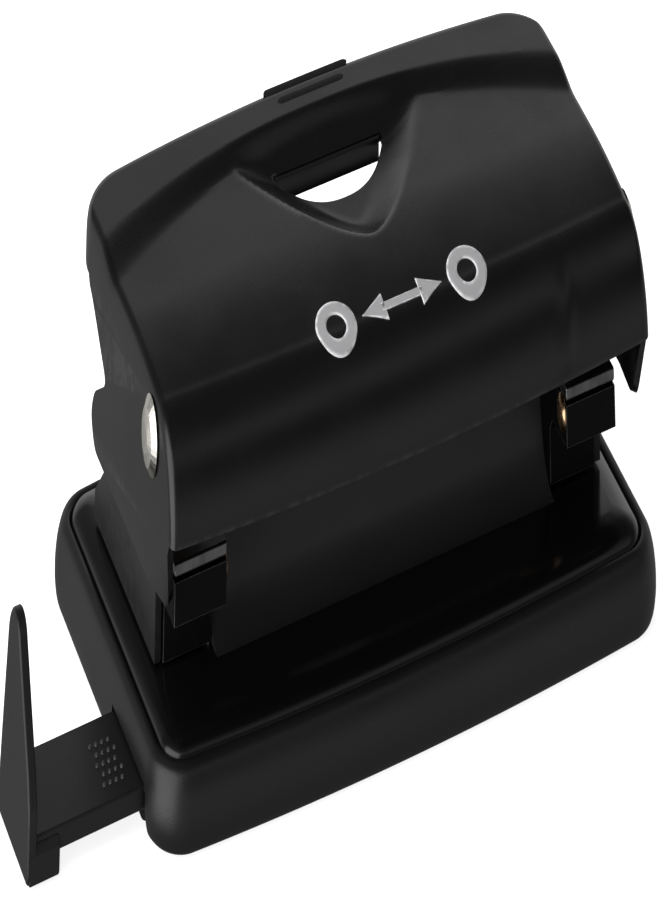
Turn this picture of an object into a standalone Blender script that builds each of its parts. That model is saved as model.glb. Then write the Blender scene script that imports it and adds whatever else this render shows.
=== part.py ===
"""Two-hole paper punch: a small sheet-steel desk punch with a plastic chip tray and a sliding paper guide.

Frame: +X to the right, +Y to the back, +Z up. The origin is on the table, under the middle of the chip tray.
Paper goes in from the front. All sizes are in millimetres and are scaled to metres where meshes are made.
"""
import math

import bmesh
import bpy
from mathutils import Matrix, Vector

MM = 0.001
GAP = 0.3                    # clearance kept between touching pieces

# Punching geometry
HOLE_SPACING = 80.0          # between hole centres
HOLE_DIAMETER = 6.0
PIN_Y = -3.0                 # pin axis, front to back
PAPER_LEVEL = 18.9           # top of the die plates
SLOT_HEIGHT = 2.1            # paper slot above the die plates
EDGE_MARGIN = 12.0           # hole centre to paper edge

# Chip tray and base
TRAY_WIDTH = 102.6
TRAY_DEPTH = 56.4            # at the corners; the long sides bow out by SIDE_BOW
TRAY_CORNER = 7.0
SIDE_BOW = 1.9
TRAY_RIM = 6.75              # height of the tray's rim
TRAY_FLOOR = 1.6
TRAY_WALL = 2.6
DECK_TOP = 8.0
DECK_SHEET = 1.2
DECK_SKIRT = 5.6             # lowest edge of the deck's skirt
CHIP_HOLE_RADIUS = 3.6

# Ramp between the die blocks
RAMP_HALF_WIDTH = 33.0
RAMP_RADIUS = 5.0            # hollow at the foot of the ramp
RAMP_SLOPE = 72.0            # degrees, above the hollow
RAMP_FOOT_Y = -15.0
STOP_HEIGHT = 4.0            # paper stop above the paper table
SHEET_OVERLAP = 0.5          # how far the ramp sheet reaches into the deck

# Die blocks
DIE_WIDTH = 10.3
DIE_FRONT = -19.8
DIE_BACK = 8.0
DIE_PLATE = 1.2
DIE_NOSE = 14.0              # underside of the nose that stands out in front
DIE_HEEL = -12.5             # front of the block below the nose
DIE_SHEET = 1.2
DIE_ROUND = 0.3
DIE_BORE_RADIUS = 3.4
DIE_SHOULDER = -13.6         # behind this the block and plate are set back from the frame wall

# Handle
HANDLE_WIDTH = 98.4
HANDLE_SHEET = 1.1
HANDLE_FRONT = -27.4         # at the ends; the middle bows out by SIDE_BOW
HANDLE_BACK = 22.6
HANDLE_CORNER = 8.0          # rear corners in plan
HANDLE_TOP = 34.4            # the pad at its ends; CROWN higher in the middle
CROWN = 0.5
SHOULDER_DEPTH = 8.0         # the front face is a quarter of an ellipse this deep
PAD_RISE = 1.0               # the pad behind stands this much over the body in front
FALL_START = -4.0            # from here forward the body falls away gently towards the shoulder
BODY_FALL = 0.0025
REAR_ROUND = 2.4
SCOOP_HALF_WIDTH = 19.6
SCOOP_FRONT = -9.3
SCOOP_BACK = 13.7            # where the scoop's rim ends at its full width
SCOOP_DEPTH = 2.2
SCOOP_WALL = 8.0             # width of the sloping wall inside the rim
SLOT_HALF_WIDTH = 11.5
SLOT_FRONT = 4.4
SLOT_BACK = 13.0
SLOT_END = 0.8               # front to back at the slot's ends
FRONT_EDGE = 23.4            # height of the handle's front edge
REAR_LIP = 30.5
SKIRT_BOTTOM = 14.0          # the flanges before they are cut to shape
FLANGE_BOTTOM = 17.2

# Pivot
PIVOT_Y = -17.3
PIVOT_Z = 28.7
RIVET_RADIUS = 2.0
RIVET_HEAD = 3.15
RIVET_COLLAR = 0.7           # thickness of the closing head inside the frame
RIVET_COLLAR_RADIUS = 2.9
BOSS_RADIUS = 2.9
WASHER_RADIUS = 2.9

# Punch frames
FRAME_SHEET = 1.2
FRAME_OUTER = 45.6           # outer face of the frame's side wall
WALL_FRONT = -12.0           # front edge of the wall below the pivot
NECK_FRONT = 21.0            # height where the wall starts to lean forward to the pivot
NECK_BACK = -8.0             # where the neck meets the top of the guide arm behind
WALL_BACK = ((4.0, 22.9), (8.5, 17.0), (17.5, 10.5))
ARM_TOP = 22.9
ARM_REACH = (-10.0, 8.0)     # guide arm, front to back
FOOT_REACH = (9.5, 17.5)
FOOT_INNER = 36.0
JOINT_OVERLAP = 0.5          # arm and foot reach this far into the wall
RIVET_ROW = 14.8
RIVET_SPOTS = (38.2, 42.2)
RIVET_HOLE_RADIUS = 1.2

# Punch pins and their springs
PIN_RADIUS = HOLE_DIAMETER / 2
PIN_TIP = PAPER_LEVEL + SLOT_HEIGHT + 0.4
PIN_TOP = 30.0
PIN_HEAD = 0.9
PIN_HEAD_RADIUS = 4.6
SPRING_WIRE = 0.55
SPRING_RADIUS = 3.75
SPRING_TURNS = 4

# Pressing tongues under the handle
RIB_REACH = (-8.0, 4.0)
RIB_HALF_WIDTH = 3.5
RIB_SHEET = 1.0
RIB_RADIUS = 1.2

# Paper guide
GUIDE_Y = (-20.9, -6.4)
GUIDE_Z = (1.9, 3.7)
GUIDE_LENGTH = 99.0
FENCE_X = -71.5              # paper face of the fence, at the A6 position
FENCE_THICK = 1.8
FENCE_TOP = 17.4
FENCE_FOOT = 0.4

parts = bpy.data.collections.new("two_hole_punch")
cutters = bpy.data.collections.new("cutters")


def clear_scene():
    for old in list(bpy.data.objects):
        bpy.data.objects.remove(old, do_unlink=True)
    bpy.context.scene.collection.children.link(parts)
    bpy.context.scene.collection.children.link(cutters)


# ---------------------------------------------------------------- materials

def material(name, colour, roughness, metallic):
    made = bpy.data.materials.new(name)
    made.use_nodes = True
    shader = made.node_tree.nodes["Principled BSDF"]
    shader.inputs["Base Color"].default_value = (*colour, 1.0)
    shader.inputs["Roughness"].default_value = roughness
    shader.inputs["Metallic"].default_value = metallic
    return made


def finishes():
    return {
        "handle_paint": material("handle_paint", (0.012, 0.012, 0.013), 0.32, 0.0),
        "deck_paint": material("deck_paint", (0.008, 0.008, 0.009), 0.16, 0.0),
        "frame_paint": material("frame_paint", (0.015, 0.015, 0.016), 0.40, 0.0),
        "plastic": material("plastic", (0.014, 0.014, 0.015), 0.42, 0.0),
        "nickel": material("nickel", (0.72, 0.70, 0.64), 0.22, 1.0),
        "spring_steel": material("spring_steel", (0.52, 0.36, 0.25), 0.30, 1.0),
        "nylon": material("nylon", (0.60, 0.59, 0.55), 0.50, 0.0),
    }


# ------------------------------------------------------------------ helpers

def add_object(name, mesh, collection=parts):
    made = bpy.data.objects.new(name, mesh)
    collection.objects.link(made)
    return made


def from_bmesh(name, bm, collection=parts):
    bmesh.ops.recalc_face_normals(bm, faces=bm.faces)
    mesh = bpy.data.meshes.new(name)
    bm.to_mesh(mesh)
    bm.free()
    return add_object(name, mesh, collection)


def box(name, low, high, collection=cutters):
    bm = bmesh.new()
    bmesh.ops.create_cube(bm, size=1.0)
    size = Vector(high) - Vector(low)
    middle = (Vector(high) + Vector(low)) / 2
    bmesh.ops.scale(bm, vec=size * MM, verts=bm.verts)
    bmesh.ops.translate(bm, vec=middle * MM, verts=bm.verts)
    return from_bmesh(name, bm, collection)


def upright_cylinder(name, x, y, low, high, radius, sides=32, collection=cutters):
    bm = bmesh.new()
    bmesh.ops.create_cone(bm, cap_ends=True, segments=sides, radius1=radius * MM,
                          radius2=radius * MM, depth=(high - low) * MM)
    bmesh.ops.translate(bm, vec=Vector((x, y, (low + high) / 2)) * MM, verts=bm.verts)
    return from_bmesh(name, bm, collection)


def sideways_cylinder(name, x_low, x_high, y, z, radius, sides=32, collection=cutters):
    bm = bmesh.new()
    bmesh.ops.create_cone(bm, cap_ends=True, segments=sides, radius1=radius * MM,
                          radius2=radius * MM, depth=(x_high - x_low) * MM)
    bmesh.ops.rotate(bm, matrix=Matrix.Rotation(math.pi / 2, 3, "Y"), verts=bm.verts)
    bmesh.ops.translate(bm, vec=Vector(((x_low + x_high) / 2, y, z)) * MM, verts=bm.verts)
    return from_bmesh(name, bm, collection)


def flat_outline(name, outline, thickness, placement, collection):
    """A filled 2D curve, given thickness and turned into a welded mesh in its place."""
    curve = bpy.data.curves.new(name, "CURVE")
    curve.dimensions = "2D"
    curve.fill_mode = "BOTH"
    curve.extrude = thickness / 2 * MM
    spline = curve.splines.new("POLY")
    spline.points.add(len(outline) - 1)
    for point, (a, b) in zip(spline.points, outline):
        point.co = (a * MM, b * MM, 0.0, 1.0)
    spline.use_cyclic_u = True
    drawn = add_object(name + "_curve", curve, collection)
    drawn.matrix_world = placement
    bpy.context.view_layer.update()
    evaluated = drawn.evaluated_get(bpy.context.evaluated_depsgraph_get())
    mesh = bpy.data.meshes.new_from_object(evaluated)
    bm = bmesh.new()
    bm.from_mesh(mesh)
    bmesh.ops.remove_doubles(bm, verts=bm.verts, dist=1e-6)
    bmesh.ops.recalc_face_normals(bm, faces=bm.faces)
    bm.to_mesh(mesh)
    bm.free()
    made = add_object(name, mesh, collection)
    made.matrix_world = drawn.matrix_world.copy()
    bpy.data.objects.remove(drawn, do_unlink=True)
    return made


def side_plate(name, outline, x_low, x_high, collection=parts):
    """An outline of (y, z) points, extruded along X."""
    middle = (x_low + x_high) / 2 * MM
    placement = Matrix(((0, 0, 1, middle), (1, 0, 0, 0), (0, 1, 0, 0), (0, 0, 0, 1)))
    return flat_outline(name, outline, x_high - x_low, placement, collection)


def level_plate(name, outline, z_low, z_high, collection=parts):
    """An outline of (x, y) points, extruded along Z."""
    placement = Matrix.Translation((0, 0, (z_low + z_high) / 2 * MM))
    return flat_outline(name, outline, z_high - z_low, placement, collection)


def apply_modifiers(target):
    bpy.context.view_layer.update()
    evaluated = target.evaluated_get(bpy.context.evaluated_depsgraph_get())
    mesh = bpy.data.meshes.new_from_object(evaluated)
    target.modifiers.clear()
    target.data = mesh


def combine(target, others, operation):
    """Boolean with each of the others in turn; the others stay hidden in the cutters collection."""
    for other in others:
        step = target.modifiers.new(operation.lower(), "BOOLEAN")
        step.operation = operation
        step.solver = "EXACT"
        step.object = other
        other.hide_render = True
        other.display_type = "WIRE"
    apply_modifiers(target)
    return target


def loft(name, rings, collection=parts):
    """A closed solid through rings of equal point count, with flat caps on the first and last ring."""
    bm = bmesh.new()
    rows = [[bm.verts.new(Vector(point) * MM) for point in ring] for ring in rings]
    count = len(rows[0])
    for row, following in zip(rows, rows[1:]):
        for i in range(count):
            j = (i + 1) % count
            bm.faces.new((row[i], row[j], following[j], following[i]))
    bm.faces.new(rows[0])
    bm.faces.new(rows[-1])
    return from_bmesh(name, bm, collection)


def turned(name, profile, collection=parts, steps=32):
    """A profile of (radius, z) points from the top down, turned about the local Z axis."""
    mesh = bpy.data.meshes.new(name)
    points = [(radius * MM, 0.0, z * MM) for radius, z in profile]
    mesh.from_pydata(points, [(i, i + 1) for i in range(len(points) - 1)], [])
    made = add_object(name, mesh, collection)
    screw = made.modifiers.new("turn", "SCREW")
    screw.axis = "Z"
    screw.steps = steps
    screw.render_steps = steps
    screw.use_merge_vertices = True
    screw.merge_threshold = 1e-6
    screw.use_smooth_shade = True
    return made


def finish(target, finish_name, smooth_angle=35):
    target.data.materials.clear()
    target.data.materials.append(FINISH[finish_name])
    if len(target.data.polygons):
        target.data.shade_smooth()
        target.data.set_sharp_from_angle(angle=math.radians(smooth_angle))
    return target


def arc(centre, radius, start, end, count):
    """Points on a circle from one angle to another, in degrees."""
    angles = [math.radians(start + (end - start) * i / count) for i in range(count + 1)]
    return [(centre[0] + radius * math.cos(a), centre[1] + radius * math.sin(a)) for a in angles]


# ----------------------------------------------------------- tray and base

def bowed_ring(inset, z, corner_steps=6, side_steps=8):
    """The tray's outline in plan, drawn in by an inset: a rounded rectangle with bowed long sides."""
    half_x = TRAY_WIDTH / 2 - inset
    half_y = TRAY_DEPTH / 2 - inset
    corner = max(TRAY_CORNER - inset, 1.5)
    plan = []
    for sign_x, sign_y, start in ((1, 1, 0), (-1, 1, 90), (-1, -1, 180), (1, -1, 270)):
        centre = (sign_x * (half_x - corner), sign_y * (half_y - corner))
        plan += arc(centre, corner, start, start + 90, corner_steps)
        if start in (0, 180):
            run = 2 * (half_x - corner)
            plan += [(sign_x * (half_x - corner - run * i / side_steps), sign_y * half_y)
                     for i in range(1, side_steps)]
    ring = []
    for x, y in plan:
        bow = SIDE_BOW * (1 - (x / half_x) ** 2) * y / half_y
        ring.append((x, y + bow, z))
    return ring


def make_chip_tray():
    outer = [(2.0, 0.0), (0.7, 0.5), (0.1, 1.8), (0.0, 3.4), (0.3, 5.0), (1.0, 6.3), (1.7, TRAY_RIM),
             (TRAY_WALL, TRAY_RIM), (TRAY_WALL, TRAY_FLOOR)]
    tray = loft("chip_tray", [bowed_ring(inset, z) for inset, z in outer])
    doorway = box("guide_doorway", (-60, GUIDE_Y[0] - GAP, TRAY_FLOOR + 0.01),
                  (-TRAY_WIDTH / 2 + 6, GUIDE_Y[1] + GAP, GUIDE_Z[1] + GAP))
    combine(tray, [doorway], "DIFFERENCE")
    return finish(tray, "plastic")


def ramp_profile():
    """Side view of the ramp, paper table and paper stop, as one bent sheet seen from the left."""
    centre = (RAMP_FOOT_Y, DECK_TOP + RAMP_RADIUS)
    slope = math.radians(RAMP_SLOPE)
    upper = arc(centre, RAMP_RADIUS, -90, RAMP_SLOPE - 90, 10)
    bend_y, bend_z = upper[-1]
    crest_y = bend_y + (PAPER_LEVEL - bend_z) / math.tan(slope)
    stop_y = PIN_Y + EDGE_MARGIN
    stop_top = PAPER_LEVEL + STOP_HEIGHT
    stop_foot = DECK_TOP - SHEET_OVERLAP
    upper += [(crest_y, PAPER_LEVEL), (stop_y, PAPER_LEVEL)]
    upper += [(stop_y, stop_top), (stop_y + DECK_SHEET, stop_top)]
    inner_crest_y = crest_y + DECK_SHEET * math.tan(slope / 2)
    lower = [(stop_y + DECK_SHEET, stop_foot), (stop_y, stop_foot), (stop_y, PAPER_LEVEL - DECK_SHEET),
             (inner_crest_y, PAPER_LEVEL - DECK_SHEET)]
    return upper + lower + arc(centre, RAMP_RADIUS + DECK_SHEET, RAMP_SLOPE - 90, -90, 10)


def make_base_plate():
    skirt_inset = TRAY_WALL + GAP
    inner = skirt_inset + DECK_SHEET
    under = DECK_TOP - DECK_SHEET
    section = [(inner + 1.2, under), (inner, under - 0.5), (inner, DECK_SKIRT), (skirt_inset, DECK_SKIRT),
               (skirt_inset, 6.5), (skirt_inset + 0.35, 7.2),
               (skirt_inset + 1.1, 7.75), (skirt_inset + 2.4, DECK_TOP)]
    deck = loft("base_plate", [bowed_ring(inset, z) for inset, z in section])
    ramp = side_plate("ramp_sheet", ramp_profile(), -RAMP_HALF_WIDTH, RAMP_HALF_WIDTH, cutters)
    combine(deck, [ramp], "UNION")
    holes = [upright_cylinder("chip_hole_" + side, sign * HOLE_SPACING / 2, PIN_Y, 0, 12, CHIP_HOLE_RADIUS)
             for side, sign in SIDES]
    for side, sign in SIDES:
        holes += [upright_cylinder(f"deck_rivet_hole_{side}_{i}", x, y, 5, 12, RIVET_HOLE_RADIUS, 20)
                  for i, (x, y) in enumerate(rivet_places(sign))]
    combine(deck, holes, "DIFFERENCE")
    return finish(deck, "deck_paint")


# ------------------------------------------------------- punching stations

def make_die_block(side, sign):
    """A die block with a nose in front, hollow and open below over the chip hole."""
    middle = sign * HOLE_SPACING / 2
    half = DIE_WIDTH / 2
    wall = half - die_step() - DIE_SHEET
    bottom = DECK_TOP + GAP
    top = PAPER_LEVEL - DIE_PLATE - GAP
    outline = [(DIE_FRONT, DIE_NOSE), (DIE_FRONT, top), (DIE_BACK, top), (DIE_BACK, bottom),
               (DIE_HEEL, bottom), (DIE_HEEL, DIE_NOSE)]
    block = side_plate("die_block_" + side, outline, middle - half, middle + half)
    hollow = box("die_block_hollow_" + side, (middle - wall, DIE_HEEL + DIE_SHEET, bottom - 2),
                 (middle + wall, DIE_BACK - DIE_SHEET, top - DIE_SHEET))
    hole = upright_cylinder("die_block_hole_" + side, middle, PIN_Y, bottom - 2, top + 2, DIE_BORE_RADIUS)
    combine(block, [hollow, hole, frame_clearance("block_clearance_" + side, sign)], "DIFFERENCE")
    soften(block, DIE_ROUND)
    return finish(block, "frame_paint")


def die_step():
    """How far a die block's outer side is set back so that it clears the frame wall."""
    return HOLE_SPACING / 2 + DIE_WIDTH / 2 - (FRAME_OUTER - FRAME_SHEET - GAP)


def frame_clearance(name, sign):
    """What a die block and its plate leave free for the frame wall beside them."""
    near = sign * (FRAME_OUTER - FRAME_SHEET - GAP)
    low_x, high_x = sorted((near, sign * (FRAME_OUTER + 2)))
    return box(name, (low_x, DIE_SHOULDER, 5), (high_x, DIE_BACK + 2, 25))


def soften(target, width, segments=2):
    bevel = target.modifiers.new("soften", "BEVEL")
    bevel.width = width * MM
    bevel.segments = segments
    bevel.limit_method = "ANGLE"
    bevel.angle_limit = math.radians(50)
    apply_modifiers(target)


def make_die_plate(side, sign):
    middle = sign * HOLE_SPACING / 2
    half = DIE_WIDTH / 2
    plate = box("die_plate_" + side, (middle - half, DIE_FRONT, PAPER_LEVEL - DIE_PLATE),
                (middle + half, DIE_BACK, PAPER_LEVEL), parts)
    hole = upright_cylinder("die_hole_" + side, middle, PIN_Y, 10, 25, PIN_RADIUS + GAP)
    combine(plate, [hole, frame_clearance("plate_clearance_" + side, sign)], "DIFFERENCE")
    return finish(plate, "nickel")


def frame_wall_outline():
    """Side wall of a punch frame: upright beside the die block, its neck leaning forward to the pivot."""
    bottom = DECK_TOP + GAP
    boss = arc((PIVOT_Y, PIVOT_Z), BOSS_RADIUS, 235, 20, 12)
    return [(WALL_FRONT, bottom), (WALL_FRONT, NECK_FRONT), *boss, (NECK_BACK, ARM_TOP), *WALL_BACK,
            (WALL_BACK[-1][0], bottom)]


def make_punch_frame(side, sign):
    middle = sign * HOLE_SPACING / 2
    bottom = DECK_TOP + GAP
    inner = FRAME_OUTER - FRAME_SHEET
    wall_x = sorted((sign * inner, sign * FRAME_OUTER))
    frame = side_plate("punch_frame_" + side, frame_wall_outline(), *wall_x)
    arm_x = sorted((sign * (inner + JOINT_OVERLAP), middle - sign * DIE_WIDTH / 2))
    arm = box("guide_arm_" + side, (arm_x[0], ARM_REACH[0], PAPER_LEVEL + SLOT_HEIGHT),
              (arm_x[1], ARM_REACH[1], ARM_TOP))
    foot_x = sorted((sign * (inner + JOINT_OVERLAP), sign * FOOT_INNER))
    foot = box("frame_foot_" + side, (foot_x[0], FOOT_REACH[0], bottom),
               (foot_x[1], FOOT_REACH[1], bottom + FRAME_SHEET))
    combine(frame, [arm, foot], "UNION")
    pin_hole = upright_cylinder("pin_hole_" + side, middle, PIN_Y, 19, 25, PIN_RADIUS + GAP)
    pivot_hole = sideways_cylinder("pivot_hole_" + side, *sorted((sign * 40, sign * 50)), PIVOT_Y, PIVOT_Z,
                                   RIVET_RADIUS + GAP)
    rivet_holes = [upright_cylinder(f"rivet_hole_{side}_{i}", x, y, 5, 12, RIVET_HOLE_RADIUS, 20)
                   for i, (x, y) in enumerate(rivet_places(sign))]
    combine(frame, [pin_hole, pivot_hole, *rivet_holes], "DIFFERENCE")
    return finish(frame, "frame_paint")


def rivet_places(sign):
    return [(sign * spot, RIVET_ROW) for spot in RIVET_SPOTS]


def make_frame_rivets(side, sign):
    top = DECK_TOP + GAP + FRAME_SHEET + GAP
    for number, (x, y) in enumerate(rivet_places(sign), start=1):
        profile = [(0.0, 1.1), (0.8, 1.0), (1.4, 0.6), (1.6, 0.0), (0.9, 0.0), (0.9, -3.2), (0.0, -3.2)]
        rivet = turned(f"frame_rivet_{side}_{number}", profile, steps=20)
        rivet.location = (x * MM, y * MM, top * MM)
        finish(rivet, "nickel")


def make_punch_pin(side, sign):
    top = PIN_TOP
    head = PIN_HEAD_RADIUS
    profile = [(0.0, 0.0), (head - 0.3, 0.0), (head, -0.3), (head, -PIN_HEAD), (PIN_RADIUS, -PIN_HEAD),
               (PIN_RADIUS, PIN_TIP - top), (PIN_RADIUS - 0.7, PIN_TIP - top), (0.0, PIN_TIP - top + 0.8)]
    pin = turned("punch_pin_" + side, profile)
    pin.location = (sign * HOLE_SPACING / 2 * MM, PIN_Y * MM, top * MM)
    return finish(pin, "nickel")


def make_return_spring(side, sign):
    low = ARM_TOP + GAP + SPRING_WIRE / 2
    high = PIN_TOP - PIN_HEAD - GAP - SPRING_WIRE / 2
    curve = bpy.data.curves.new("return_spring_" + side, "CURVE")
    curve.dimensions = "3D"
    curve.bevel_depth = SPRING_WIRE / 2 * MM
    curve.bevel_resolution = 2
    curve.use_fill_caps = True
    steps = 16 * SPRING_TURNS
    spline = curve.splines.new("POLY")
    spline.points.add(steps)
    for i, point in enumerate(spline.points):
        turn = 2 * math.pi * SPRING_TURNS * i / steps
        height = low + (high - low) * i / steps
        across = Vector((math.cos(turn), math.sin(turn), 0.0)) * SPRING_RADIUS
        point.co = (*((across + Vector((0.0, 0.0, height))) * MM), 1.0)
    spring = add_object("return_spring_" + side, curve)
    spring.location = (sign * HOLE_SPACING / 2 * MM, PIN_Y * MM, 0.0)
    spring.data.materials.append(FINISH["spring_steel"])
    return spring


# ------------------------------------------------------------------- pivot

def make_pivot_rivet(side, sign):
    """A domed head outside the handle's flange and a shank through the flange, washer and frame."""
    outside = HANDLE_WIDTH / 2 + GAP
    inside = FRAME_OUTER - FRAME_SHEET - GAP
    length = outside - inside
    collar = -length - GAP
    foot = collar - RIVET_COLLAR
    dome = [(0.0, 1.3), (1.2, 1.2), (2.3, 0.8), (RIVET_HEAD, 0.0)]
    shank = [(RIVET_RADIUS, 0.0), (RIVET_RADIUS, collar)]
    closing_head = [(RIVET_COLLAR_RADIUS, collar), (RIVET_COLLAR_RADIUS, foot), (0.0, foot)]
    profile = [*dome, *shank, *closing_head]
    rivet = turned("pivot_rivet_" + side, profile)
    rivet.rotation_euler = (0.0, sign * math.pi / 2, 0.0)
    rivet.location = (sign * outside * MM, PIVOT_Y * MM, PIVOT_Z * MM)
    return finish(rivet, "nickel")


def make_pivot_washer(side, sign):
    low = FRAME_OUTER + GAP
    high = HANDLE_WIDTH / 2 - HANDLE_SHEET - GAP
    bore = RIVET_RADIUS + GAP
    profile = [(bore, high), (WASHER_RADIUS, high), (WASHER_RADIUS, low), (bore, low), (bore, high)]
    washer = turned("pivot_washer_" + side, profile)
    washer.rotation_euler = (0.0, sign * math.pi / 2, 0.0)
    washer.location = (0.0, PIVOT_Y * MM, PIVOT_Z * MM)
    return finish(washer, "nylon")


# ------------------------------------------------------------------ handle

def smooth(value):
    """0 up to 0, 1 from 1, and an S-curve between."""
    share = min(1.0, max(0.0, value))
    return share * share * (3 - 2 * share)


def crown(x):
    """1 in the middle of the handle, 0 at its ends."""
    return 1 - (2 * x / HANDLE_WIDTH) ** 2


def pad_edge(x):
    """Front and back of the slope that rises from the body to the pad."""
    along = abs(x) / 40.0
    return 15.8 - 9.5 * along ** 1.9, 17.9 - 5.2 * along ** 2.4


def scoop_depth(x, y):
    """Depth of the thumb scoop: a bowl inside a U-shaped rim, open to the pad behind."""
    along = abs(x) / SCOOP_HALF_WIDTH
    front = SCOOP_FRONT + (SCOOP_BACK - SCOOP_FRONT) * along ** 1.6
    steepness = (SCOOP_BACK - SCOOP_FRONT) / SCOOP_HALF_WIDTH * 1.6 * along ** 0.6
    inside = (y - front) / math.sqrt(1 + steepness ** 2)
    if inside <= 0:
        return 0.0
    wall = 1 - (1 - min(inside / SCOOP_WALL, 1.0)) ** 1.5
    start, end = SLOT_BACK - 2.0, pad_edge(x)[1]
    return SCOOP_DEPTH * wall * (1 - smooth((y - start) / (end - start)))


def handle_height(x, y):
    """Height of the handle's top, without the shoulder in front and the rounding behind."""
    start, end = pad_edge(x)
    pad = HANDLE_TOP + CROWN * crown(x)
    fall = BODY_FALL * max(0.0, FALL_START - y) ** 2
    return pad - fall - PAD_RISE * (1 - smooth((y - start) / (end - start))) - scoop_depth(x, y)


def handle_section(x, inset):
    """The handle's side view at x: up the front, over the shoulder, along the top and down the rear lip."""
    half = HANDLE_WIDTH / 2
    bow = SIDE_BOW * crown(x)
    front = HANDLE_FRONT - bow
    back = HANDLE_BACK + bow * 1.3
    corner_start = half - HANDLE_CORNER
    if abs(x) > corner_start:
        reach = min(abs(x) - corner_start, HANDLE_CORNER)
        back -= HANDLE_CORNER - math.sqrt(HANDLE_CORNER ** 2 - reach ** 2)
    flat_start = front + SHOULDER_DEPTH
    flat_end = back - REAR_ROUND
    shoulder_top = handle_height(x, flat_start)
    points = [(front + inset, SKIRT_BOTTOM - inset)]
    for i in range(10):
        turn = math.pi / 2 * i / 10
        points.append((flat_start - (SHOULDER_DEPTH - inset) * math.cos(turn),
                       FRONT_EDGE + (shoulder_top - FRONT_EDGE - inset) * math.sin(turn)))
    steps = 18
    for i in range(steps):
        y = flat_start + (flat_end - flat_start) * i / steps
        points.append((y, handle_height(x, y) - inset))
    rear_top = handle_height(x, flat_end) - REAR_ROUND
    points += arc((flat_end, rear_top), REAR_ROUND - inset, 90, 0, 4)
    points.append((back - inset, SKIRT_BOTTOM - inset))
    return [(x, y, z) for y, z in points]


def handle_stations(limit):
    """Stations along X: 4 mm apart over the scoop, wider along the arms and close at the rounded corners."""
    inner = [4.0 * i for i in range(6)]
    arm = [26.0, 33.0, 41.0]
    corner = [limit - HANDLE_CORNER * (1 - math.sin(math.radians(a))) for a in (20, 40, 60, 75)]
    right = inner + arm + corner + [limit]
    return [-x for x in reversed(right[1:])] + right


def flange_cut_outline():
    """Everything below the handle's edges and below and behind its side flanges."""
    tail = arc((9.4, FLANGE_BOTTOM + 2.4), 2.4, -90, 40, 6)
    tongue = [(-27.3, FRONT_EDGE), (-26.9, 22.3), (-23.4, FLANGE_BOTTOM)]
    notch = [(4.8, 24.2), (12.6, 28.4), (14.6, REAR_LIP)]
    return [(-40.0, FRONT_EDGE), *tongue, *tail, *notch, (40.0, REAR_LIP), (40.0, 5.0), (-40.0, 5.0)]


def slot_outline():
    """The slot in the scoop: a smile-shaped front edge and a straight rear edge."""
    steps = 10
    front = []
    for i in range(steps + 1):
        share = 2 * i / steps - 1
        reach = (SLOT_BACK - SLOT_END - SLOT_FRONT) * abs(share) ** 2.4
        front.append((SLOT_HALF_WIDTH * share, SLOT_FRONT + reach))
    return [*front, (SLOT_HALF_WIDTH, SLOT_BACK), (-SLOT_HALF_WIDTH, SLOT_BACK)]


def make_handle_shell():
    half = HANDLE_WIDTH / 2
    outer = loft("handle_shell", [handle_section(x, 0.0) for x in handle_stations(half)])
    inner_half = half - HANDLE_SHEET
    hollow = [handle_section(x, HANDLE_SHEET) for x in handle_stations(inner_half)]
    inner = loft("handle_hollow", hollow, cutters)
    combine(outer, [inner], "DIFFERENCE")
    below = side_plate("handle_edge_cutter", flange_cut_outline(), -60, 60, cutters)
    front = box("front_edge_cutter", (-inner_half + 0.2, -40, 5), (inner_half - 0.2, -22, FRONT_EDGE))
    combine(outer, [below, front], "DIFFERENCE")
    slot = level_plate("finger_slot", slot_outline(), 20, 45, cutters)
    pivots = [sideways_cylinder("flange_hole_" + side, *sorted((sign * 40, sign * 60)), PIVOT_Y, PIVOT_Z,
                                RIVET_RADIUS + GAP) for side, sign in SIDES]
    combine(outer, [slot, *pivots], "DIFFERENCE")
    move_origin(outer, (0.0, PIVOT_Y, PIVOT_Z))
    return finish(outer, "handle_paint")


def move_origin(target, place):
    """Puts an object's origin at a place without moving its mesh in the world."""
    offset = Vector(place) * MM
    target.data.transform(Matrix.Translation(-offset))
    target.location = offset


def make_press_rib(side, sign):
    """The pressing tongue under the handle: a strap whose rounded rib bears on the pin's head."""
    middle = sign * HOLE_SPACING / 2
    top = HANDLE_TOP - PAD_RISE - HANDLE_SHEET - GAP
    bump = arc((PIN_Y, PIN_TOP + GAP + RIB_RADIUS), RIB_RADIUS, 200, 340, 8)
    front, back = RIB_REACH
    outline = [(front, top), (front, top - RIB_SHEET), *bump, (back, top - RIB_SHEET), (back, top)]
    rib = side_plate("press_rib_" + side, outline, middle - RIB_HALF_WIDTH, middle + RIB_HALF_WIDTH)
    move_origin_of_plate(rib)
    return finish(rib, "frame_paint")


def move_origin_of_plate(target):
    """A side plate keeps its turned axes; its mesh is put in world axes with the origin on the pivot."""
    target.data.transform(target.matrix_world)
    target.matrix_world = Matrix.Identity(4)
    move_origin(target, (0.0, PIVOT_Y, PIVOT_Z))


# ------------------------------------------------------------- paper guide

def fence_outline():
    """Side view of the fence: upright rear edge, round top, slanting front edge."""
    top_centre = (-11.6, FENCE_TOP - 2.2)
    front = GUIDE_Y[0] - 0.5
    top = arc(top_centre, 2.2, 10, 160, 8)
    return [(GUIDE_Y[1] - 0.2, FENCE_FOOT), *top, (-17.6, 11.0), (front, 7.0), (front - 0.2, FENCE_FOOT)]


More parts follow.
